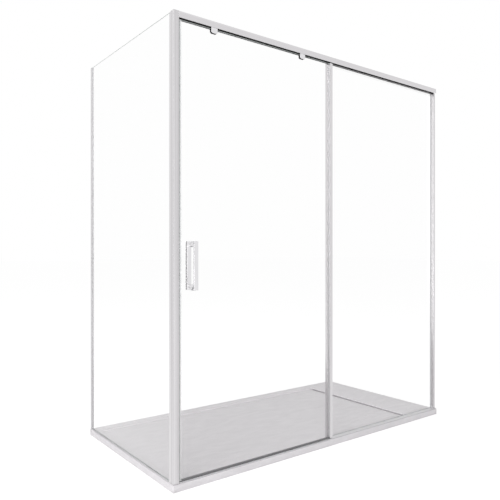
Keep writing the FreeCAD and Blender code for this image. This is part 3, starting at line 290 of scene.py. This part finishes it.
# ABS from a fine-textured mould: an even grey with a soft sheen
grey_abs = moulded("moulded_grey_abs", "#A6A7A9", roughness=0.38, grain=0.0012, depth=0.0001)
wear(grey_abs, "waste_flange")
wear(steel, "waste_strainer")

# ---------------------------------------------------------------- post, rail, sills and wall profiles
# Aluminium extrusions, sawn to length and clear anodised, with a cap on the post and a bracket in the rail
# to match. The sills are bonded to the tray's rim, the post and wall profiles stand on them, and the rail
# joins the post's head to the wall.

# Axes by number
X, Y, Z = range(3)
# An extrusion's corners leave the die with a radius of about half a millimetre
extrusion_arris = 0.0005


def aluminium(name, run, dark, pale, smooth, rough):
    """Anodised aluminium: soft and pale, with faint lines of the die along its run and broad bands."""
    material, tree = empty_finish(name)
    place = add(tree, "ShaderNodeTexCoord").outputs["Object"]
    # Die lines 1.2 mm apart, coarser than the real 0.1 mm, each about half a metre long
    line_pitch = 0.0012
    line_length = 0.5
    # Broad bands left by the bath, 9 mm apart
    band_pitch = 0.009
    across = [1.0, 1.0, 1.0]
    across[run] = line_pitch / line_length
    stretched = add(tree, "ShaderNodeMapping", Vector=place, Scale=across).outputs[0]
    lines = add(
        tree,
        "ShaderNodeTexNoise",
        Vector=stretched,
        Scale=1 / line_pitch,
        Detail=2.0,
        Roughness=0.6,
    )
    bands = add(tree, "ShaderNodeTexNoise", Vector=stretched, Scale=1 / band_pitch, Detail=1.0)
    relief = add(tree, "ShaderNodeBump", Strength=0.05, Distance=0.0002, Height=lines.outputs[0])
    gloss = add(tree, "ShaderNodeMapRange", Value=lines.outputs[0], To_Min=smooth, To_Max=rough)
    tone = add(tree, "ShaderNodeValToRGB", Fac=bands.outputs[0])
    tone.color_ramp.elements[0].position = 0.38
    tone.color_ramp.elements[0].color = linear(dark)
    tone.color_ramp.elements[1].position = 0.62
    tone.color_ramp.elements[1].color = linear(pale)
    metal = add(
        tree,
        "ShaderNodeBsdfPrincipled",
        Base_Color=tone.outputs[0],
        Metallic=1.0,
        Roughness=gloss.outputs[0],
        Normal=relief.outputs[0],
    )
    return sealed(material, metal)


# Bright dipped before it is anodised: a soft mirror
bright_rail = aluminium("bright_aluminium_along_x", X, "#D6D4D6", "#E3E1E3", smooth=0.13, rough=0.25)
# The uprights are the rail's aluminium made a shade darker: painted shade
bright_upright_painted_shade = aluminium("bright_aluminium_upright_painted_shade", Z, "#CCCACC", "#DAD8DA", smooth=0.15, rough=0.27)
for node in (
    "corner_post",
    "side_wall_profile",
    "front_wall_profile",
    "wall_profile_cover",
    "fixed_edge_profile",
    "door_edge_profile",
    "post_cap",
):
    eased(node, extrusion_arris, bright_upright_painted_shade)
eased("top_rail", extrusion_arris, bright_rail)
wear(bright_rail, "rail_wall_bracket")
# The sills are rougher, so they show no mirror, and a shade greyer: painted shade
satin = {"dark": "#CBCACC", "pale": "#D6D5D7", "smooth": 0.36, "rough": 0.48}
eased("sill", extrusion_arris, aluminium("satin_aluminium_painted_shade_along_x", X, **satin))
eased("side_sill", extrusion_arris, aluminium("satin_aluminium_painted_shade_along_y", Y, **satin))

# ---------------------------------------------------------------- glass
# Three panes of 6 mm toughened float glass. The eye looks straight through their faces, and sees the rims,
# which were ground and seamed before toughening, as fine grey-green lines.

glass_seam = 0.0006


def float_glass():
    """Float glass seen through its faces: clear, with next to no reflection."""
    material, tree = empty_finish("toughened_float_glass")
    path = add(tree, "ShaderNodeLightPath").outputs
    tint = linear("#FEFEFE")
    # The photographed panes hardly reflect, so the IOR is lower than float glass's 1.52
    body = add(
        tree,
        "ShaderNodeBsdfPrincipled",
        Base_Color=tint,
        Roughness=0.0,
        IOR=1.32,
        Transmission_Weight=1.0,
    )
    clear = add(tree, "ShaderNodeBsdfTransparent", Color=tint)
    # Lamps and the soft light of the room pass straight through
    passes = add(
        tree,
        "ShaderNodeMath",
        {"operation": "MAXIMUM"},
        i0=path["Is Shadow Ray"],
        i1=path["Is Diffuse Ray"],
    )
    glass = add(tree, "ShaderNodeMixShader", Fac=passes.outputs[0], i1=body.outputs[0], i2=clear.outputs[0])
    return sealed(material, glass)


def ground_rim():
    """The pane's rim: ground to a satin grey-green, with the wheel's fine scores."""
    material, tree = empty_finish("ground_glass_rim")
    place = add(tree, "ShaderNodeTexCoord").outputs["Object"]
    # Scores of the wheel 0.8 mm apart, coarser than the real 0.1 mm
    score_pitch = 0.0008
    scores = add(tree, "ShaderNodeTexNoise", Vector=place, Scale=1 / score_pitch, Detail=2.0)
    relief = add(tree, "ShaderNodeBump", Strength=0.2, Distance=0.0001, Height=scores.outputs[0])
    tone = add(tree, "ShaderNodeValToRGB", Fac=scores.outputs[0])
    tone.color_ramp.elements[0].color = linear("#B4BDBA")
    tone.color_ramp.elements[1].color = linear("#CDD4D1")
    rim = add(
        tree,
        "ShaderNodeBsdfPrincipled",
        Base_Color=tone.outputs[0],
        Roughness=0.38,
        IOR=1.52,
        Normal=relief.outputs[0],
    )
    return sealed(material, rim)


def pane(node, thin_axis, glass, rim):
    """Put a pane in a CAD node's place: clear on its two faces, ground and seamed round its rim and holes."""
    shape = merged(node)
    # A face is one of the two where its normal lies along the thin axis
    along_axis = 0.9
    for face in shape.faces:
        face.smooth = False
        face.material_index = 0 if abs(face.normal[thin_axis]) > along_axis else 1
    arrises = [
        edge
        for edge in shape.edges
        if len({face.material_index for face in edge.link_faces}) == 2
    ]
    bmesh.ops.bevel(shape, geom=arrises, offset=glass_seam, segments=1, affect="EDGES", material=1)
    piece = new_piece(f"{node}_seamed", shape)
    piece.data.materials.append(glass)
    piece.data.materials.append(rim)
    stand_for(piece, node)


clear_glass = float_glass()
glass_rim = ground_rim()
for node, thin_axis in (("side_glass", X), ("fixed_glass", Y), ("door_glass", Y)):
    pane(node, thin_axis, clear_glass, glass_rim)

# ---------------------------------------------------------------- glazing gaskets and seals
# Milky PVC gaskets and black rubber ones are pushed into the channels beside the glass. A clear magnetic
# seal on the door's leading edge meets the strip on the post, a clear fin closes the gap to the fixed pane,
# and a PVC lip hangs under the door, its smoke grey painted shade.


def extruded_pvc(name, colour, roughness, alpha=1.0):
    """Soft extruded PVC: a waxy sheen with faint flow lines. A low alpha makes it a clear film."""
    material, tree = empty_finish(name)
    place = add(tree, "ShaderNodeTexCoord").outputs["Object"]
    # Flow lines 1 mm apart, coarser than the real ones, vary its roughness
    flow_pitch = 0.001
    flow_span = 0.07
    flow = add(tree, "ShaderNodeTexNoise", Vector=place, Scale=1 / flow_pitch, Detail=2.0)
    relief = add(tree, "ShaderNodeBump", Strength=0.05, Distance=0.0001, Height=flow.outputs[0])
    rough = add(
        tree,
        "ShaderNodeMapRange",
        Value=flow.outputs[0],
        To_Min=roughness - flow_span,
        To_Max=roughness + flow_span,
    )
    pvc = add(
        tree,
        "ShaderNodeBsdfPrincipled",
        Base_Color=linear(colour),
        Roughness=rough.outputs[0],
        IOR=1.45,
        Alpha=alpha,
        Normal=relief.outputs[0],
    )
    return sealed(material, pvc)


# Milky PVC wedges: they read as a pale line beside the glass
milky_pvc = extruded_pvc("milky_pvc", "#D8D8DA", roughness=0.42)
wear(milky_pvc, "side_glass_gaskets", "fixed_glass_gaskets", "door_edge_gaskets")
# Water-clear PVC, which only shows by its edges
wear(extruded_pvc("clear_pvc", "#F0F1F2", roughness=0.3, alpha=0.3), "interlock_seal", "door_magnet_seal")
# Filled PVC round the magnet, pale grey
wear(extruded_pvc("magnet_pvc", "#D9DADC", roughness=0.4), "post_magnet_strip")
# PVC lip under the door: its smoke grey is painted shade
wear(extruded_pvc("smoke_grey_pvc_painted_shade", "#757477", roughness=0.42), "door_bottom_seal")
# Cellular rubber, black and matt
black_rubber = moulded("black_rubber", "#242426", roughness=0.7, grain=0.001, depth=0.0002, gloss=0.3)
wear(black_rubber, "rail_glass_gaskets", "stop_bumpers", "hanger_pads")

# ---------------------------------------------------------------- track, rollers and stops
# Moulded acetal parts: in the rail a liner with the running rib, whose black is painted shade in the slot,
# white grooved tyres on ball bearings and black end stops, and round the panes white bushes, blocks and the
# door's guide. Stainless screws hold stops, brackets and guide.

# Acetal has a waxy sheen: the black parts hardly shine, and the white ones more
black_acetal = moulded("black_acetal", "#161618", roughness=0.5, grain=0.0015, depth=0.0001, gloss=0.2)
white_acetal = moulded("white_acetal", "#E3E2DE", roughness=0.35, grain=0.0015, depth=0.0001)
rollers = [f"{side}_{number}" for side in ("left", "right") for number in (1, 2)]
# The liner's black stands in for the shade in the rail's slot: painted shade
wear(black_acetal, "track_liner", "stop_left", "stop_right", "rail_post_bracket")
wear(white_acetal, *[f"roller_{roller}" for roller in rollers])
wear(white_acetal, "hanger_bushes", "handle_bushes", "glass_setting_blocks", "door_guide")
wear(steel, *[f"bearing_{roller}" for roller in rollers], "roller_axles")
wear(steel, "stop_screws", "guide_screws", "rail_bracket_screws")

# ---------------------------------------------------------------- hangers
# Two die-cast zinc hangers carry the door; their black coat is painted shade on their sides and undersides.
# Each has a bright chromed cover on its face, and a clamp plate in the same black behind the glass.

hanger_arris = 0.0004


def polished_chrome():
    """Chrome plate on zinc: a cool clear mirror, dulled here and there by a wiped-on haze."""
    material, tree = empty_finish("polished_chrome_plate")
    place = add(tree, "ShaderNodeTexCoord").outputs["Object"]
    # Wipe marks 14 mm across
    wipe_size = 0.014
    haze = add(tree, "ShaderNodeTexNoise", Vector=place, Scale=1 / wipe_size, Detail=4.0, Roughness=0.65)
    rough = add(tree, "ShaderNodeMapRange", Value=haze.outputs[0], To_Min=0.05, To_Max=0.16)
    plate = add(
        tree,
        "ShaderNodeBsdfPrincipled",
        Base_Color=linear("#E2E1E3"),
        Metallic=1.0,
        Roughness=rough.outputs[0],
    )
    return sealed(material, plate)


def powder_coat_painted_shade():
    """Black coat, matt with the orange peel of baked powder: its black is painted shade."""
    material, tree = empty_finish("black_powder_coat_painted_shade")
    place = add(tree, "ShaderNodeTexCoord").outputs["Object"]
    # Orange peel 1.5 mm across
    peel_size = 0.0015
    peel = add(tree, "ShaderNodeTexVoronoi", {"feature": "SMOOTH_F1"}, Vector=place, Scale=1 / peel_size)
    relief = add(tree, "ShaderNodeBump", Strength=0.25, Distance=0.0001, Height=peel.outputs["Distance"])
    # The black is painted shade: it darkens the hangers' sides and undersides
    coat = add(
        tree,
        "ShaderNodeBsdfPrincipled",
        Base_Color=linear("#161617"),
        Roughness=0.5,
        Specular_IOR_Level=0.3,
        Normal=relief.outputs[0],
    )
    return sealed(material, coat)


chrome = polished_chrome()
black_painted_shade_coat = powder_coat_painted_shade()
for side in ("left", "right"):
    eased(f"hanger_{side}", hanger_arris, black_painted_shade_coat)
    eased(f"hanger_clamp_{side}", hanger_arris, black_painted_shade_coat)
    eased(f"hanger_cover_{side}", hanger_arris, chrome)

# ---------------------------------------------------------------- handle
# One chromed zinc loop outside the door and a flat plate inside, clamped through the glass by two screws.
# Grub screws in the loop's side lock it.

handle_arris = 0.0006
eased("handle_grip", handle_arris, chrome)
eased("handle_inner_plate", handle_arris, chrome)

# ---------------------------------------------------------------- hexagon socket screws
# Stainless countersunk screws hold hangers and handle through the glass, and two grub screws lock the handle.
# Each has a hexagon socket for the key.


def socket_screw_tree():
    """Geometry Nodes: one screw for each point of the mesh, with its head's face at the point."""
    tree = bpy.data.node_groups.new("socket_screws", "GeometryNodeTree")
    tree.interface.new_socket("Geometry", in_out="INPUT", socket_type="NodeSocketGeometry")
    for name in ("Shank Radius", "Shank Length", "Head Radius", "Head Depth", "Key Width", "Key Depth"):
        tree.interface.new_socket(name, in_out="INPUT", socket_type="NodeSocketFloat")
    tree.interface.new_socket("Turn", in_out="INPUT", socket_type="NodeSocketVector")
    tree.interface.new_socket("Finish", in_out="INPUT", socket_type="NodeSocketMaterial")
    tree.interface.new_socket("Geometry", in_out="OUTPUT", socket_type="NodeSocketGeometry")
    given = add(tree, "NodeGroupInput").outputs
    times = {"operation": "MULTIPLY"}
    # The head is a cone made from its narrow end up, so it is lowered by its depth
    below = add(tree, "ShaderNodeMath", times, i0=given["Head Depth"], i1=-1.0).outputs[0]
    sink = add(tree, "ShaderNodeCombineXYZ", Z=below)
    head = add(
        tree,
        "GeometryNodeMeshCone",
        Vertices=24,
        Radius_Top=given["Head Radius"],
        Radius_Bottom=given["Shank Radius"],
        Depth=given["Head Depth"],
    )
    flush = add(tree, "GeometryNodeTransform", Geometry=head.outputs[0], Translation=sink.outputs[0])
    # The shank hangs under the head: its middle is half its length below the head's narrow end
    shank = add(
        tree,
        "GeometryNodeMeshCylinder",
        Vertices=24,
        Radius=given["Shank Radius"],
        Depth=given["Shank Length"],
    )
    middle = add(
        tree,
        "ShaderNodeMath",
        {"operation": "MULTIPLY_ADD"},
        i0=given["Shank Length"],
        i1=-0.5,
        i2=below,
    )
    down = add(tree, "ShaderNodeCombineXYZ", Z=middle.outputs[0])
    hung = add(tree, "GeometryNodeTransform", Geometry=shank.outputs[0], Translation=down.outputs[0])
    # The key's hexagon is given by its width across flats. Its middle is at the head's face, so it is made
    # twice as deep as it goes in.
    corner = add(tree, "ShaderNodeMath", times, i0=given["Key Width"], i1=1 / math.sqrt(3))
    twice = add(tree, "ShaderNodeMath", times, i0=given["Key Depth"], i1=2.0)
    key = add(
        tree,
        "GeometryNodeMeshCylinder",
        Vertices=6,
        Radius=corner.outputs[0],
        Depth=twice.outputs[0],
    )
    socketed = add(
        tree,
        "GeometryNodeMeshBoolean",
        {"operation": "DIFFERENCE"},
        i0=flush.outputs[0],
        i1=key.outputs[0],
    )
    # Join Geometry takes both parts of the screw by its one input
    screw = add(tree, "GeometryNodeJoinGeometry", i0=hung.outputs[0])
    tree.links.new(socketed.outputs[0], screw.inputs[0])
    placed = add(
        tree,
        "GeometryNodeInstanceOnPoints",
        Points=given["Geometry"],
        Instance=screw.outputs[0],
        Rotation=given["Turn"],
    )
    real = add(tree, "GeometryNodeRealizeInstances", Geometry=placed.outputs[0])
    finished = add(tree, "GeometryNodeSetMaterial", Geometry=real.outputs[0], Material=given["Finish"])
    add(tree, "NodeGroupOutput", Geometry=finished.outputs[0])
    return tree


screw_tree = socket_screw_tree()


def socket_screws(node, places, turn, **sizes):
    """Put screws at their places, turned from upright, in a CAD node's place."""
    piece = new_piece(f"{node}_socketed")
    piece.data.from_pydata(places, [], [])
    maker = piece.modifiers.new("screws", "NODES")
    maker.node_group = screw_tree
    values = {name.replace("_", " ").title(): value for name, value in sizes.items()}
    values.update({"Turn": turn, "Finish": steel})
    for item in screw_tree.interface.items_tree:
        if item.in_out == "INPUT" and item.name in values:
            maker[item.identifier] = values[item.name]
    seen = piece.evaluated_get(bpy.context.evaluated_depsgraph_get())
    mesh = bpy.data.meshes.new_from_object(seen)
    piece.modifiers.clear()
    piece.data = mesh
    stand_for(piece, node)


def solids_of(node):
    """The lowest and highest corners of each of a node's separate solids."""
    shape = merged(node)
    boxes, reached = [], set()
    for first in shape.verts:
        if first in reached:
            continue
        # The list grows while it is walked, until it holds the whole solid
        solid = [first]
        reached.add(first)
        for vert in solid:
            near = {edge.other_vert(vert) for edge in vert.link_edges} - reached
            reached |= near
            solid += near
        spots = [vert.co for vert in solid]
        boxes.append([Vector([pick(spot[i] for spot in spots) for i in range(3)]) for pick in (min, max)])
    shape.free()
    return boxes


# Screws through the glass: their heads are inside the enclosure, so their Z is turned to Y
countersink_depth = 0.0018
for node in ("hanger_screws", "handle_screws"):
    solids = solids_of(node)
    low, high = solids[0]
    socket_screws(
        node,
        [((low.x + high.x) / 2, high.y, (low.z + high.z) / 2) for low, high in solids],
        (-math.pi / 2, 0, 0),
        shank_radius=0.0025,
        shank_length=high.y - low.y - countersink_depth,
        head_radius=0.0044,
        head_depth=countersink_depth,
        key_width=0.003,
        key_depth=0.0014,
    )
# Grub screws in the handle's side, with their sockets to the left: no wider at the head than below it
grub_radius = 0.002
grub_socket = 0.0025
grubs = solids_of("handle_grub_screws")
low, high = grubs[0]
socket_screws(
    "handle_grub_screws",
    [(low.x, (low.y + high.y) / 2, (low.z + high.z) / 2) for low, high in grubs],
    (0, -math.pi / 2, 0),
    shank_radius=grub_radius,
    shank_length=high.x - low.x - grub_socket,
    head_radius=grub_radius,
    head_depth=grub_socket,
    key_width=0.002,
    key_depth=0.002,
)

# ---------------------------------------------------------------- studio
# A pale floor and a white surround, lit by the room and one large soft lamp in front, off the post's corner.
# The camera stands where the photograph was taken from, level, a metre above the floor.

floor_reach = 60.0
white = linear("#FFFFFF")
lamp_side = 6.0
lamp_watts = 430
lamp_place = Vector((-6.2, -4.6, 2.8))
lamp_aim = Vector((0, 0, 0.8))
camera_place = (-1.987, -2.392, 0.973)
# Degrees round from looking along Y, to the right
camera_heading = 37.23


def shows_white(tree):
    """1 for rays that see the background: straight on, in a reflection or through glass."""
    path = add(tree, "ShaderNodeLightPath").outputs
    most = {"operation": "MAXIMUM"}
    first = add(tree, "ShaderNodeMath", most, i0=path["Is Camera Ray"], i1=path["Is Glossy Ray"]).outputs[0]
    return add(tree, "ShaderNodeMath", most, i0=first, i1=path["Is Transmission Ray"]).outputs[0]


floor = new_piece("floor")
corners = [(x * floor_reach, y * floor_reach, 0) for x, y in ((-1, -1), (1, -1), (1, 1), (-1, 1))]
floor.data.from_pydata(corners, [], [range(4)])
floor_paint, tree = empty_finish("pale_floor_paint")
# Seen, it is white with the object's soft shadow; to the light that it throws back, it is plain pale paint
paint = add(tree, "ShaderNodeBsdfDiffuse", Color=linear("#DCDCDC"))
shadowed = add(tree, "ShaderNodeBsdfDiffuse", Color=linear("#A4A4A4"))
glow = add(tree, "ShaderNodeEmission", Strength=0.77)
seen_floor = add(tree, "ShaderNodeAddShader", i0=shadowed.outputs[0], i1=glow.outputs[0])
both = add(tree, "ShaderNodeMixShader", Fac=shows_white(tree), i1=paint.outputs[0], i2=seen_floor.outputs[0])
wear(sealed(floor_paint, both), floor)

world = bpy.data.worlds.new("white_surround")
bpy.context.scene.world = world
world.use_nodes = True
tree = world.node_tree
tree.nodes.clear()
room_light = add(tree, "ShaderNodeBackground", Color=white, Strength=0.6)
backdrop = add(tree, "ShaderNodeBackground", Color=white, Strength=1.0)
surround = add(
    tree,
    "ShaderNodeMixShader",
    Fac=shows_white(tree),
    i1=room_light.outputs[0],
    i2=backdrop.outputs[0],
)
add(tree, "ShaderNodeOutputWorld", Surface=surround.outputs[0])

key_data = bpy.data.lights.new("key_lamp", "AREA")
key_data.shape = "SQUARE"
key_data.size = lamp_side
key_data.energy = lamp_watts
key_lamp = bpy.data.objects.new("key_lamp", key_data)
key_lamp.location = lamp_place
key_lamp.rotation_euler = (lamp_aim - lamp_place).to_track_quat("-Z", "Y").to_euler()
bpy.context.scene.collection.objects.link(key_lamp)

camera = bpy.data.objects.new("camera", bpy.data.cameras.new("camera"))
camera.location = camera_place
camera.rotation_euler = (math.radians(90), 0, math.radians(-camera_heading))
# Millimetres on a 36 mm sensor, from the photograph's vanishing points
camera.data.lens = 39.39
camera.data.sensor_width = 36.0
camera.data.shift_y = 0.0045
bpy.context.scene.collection.objects.link(camera)
bpy.context.scene.camera = camera
bpy.context.scene.view_settings.view_transform = "Standard"
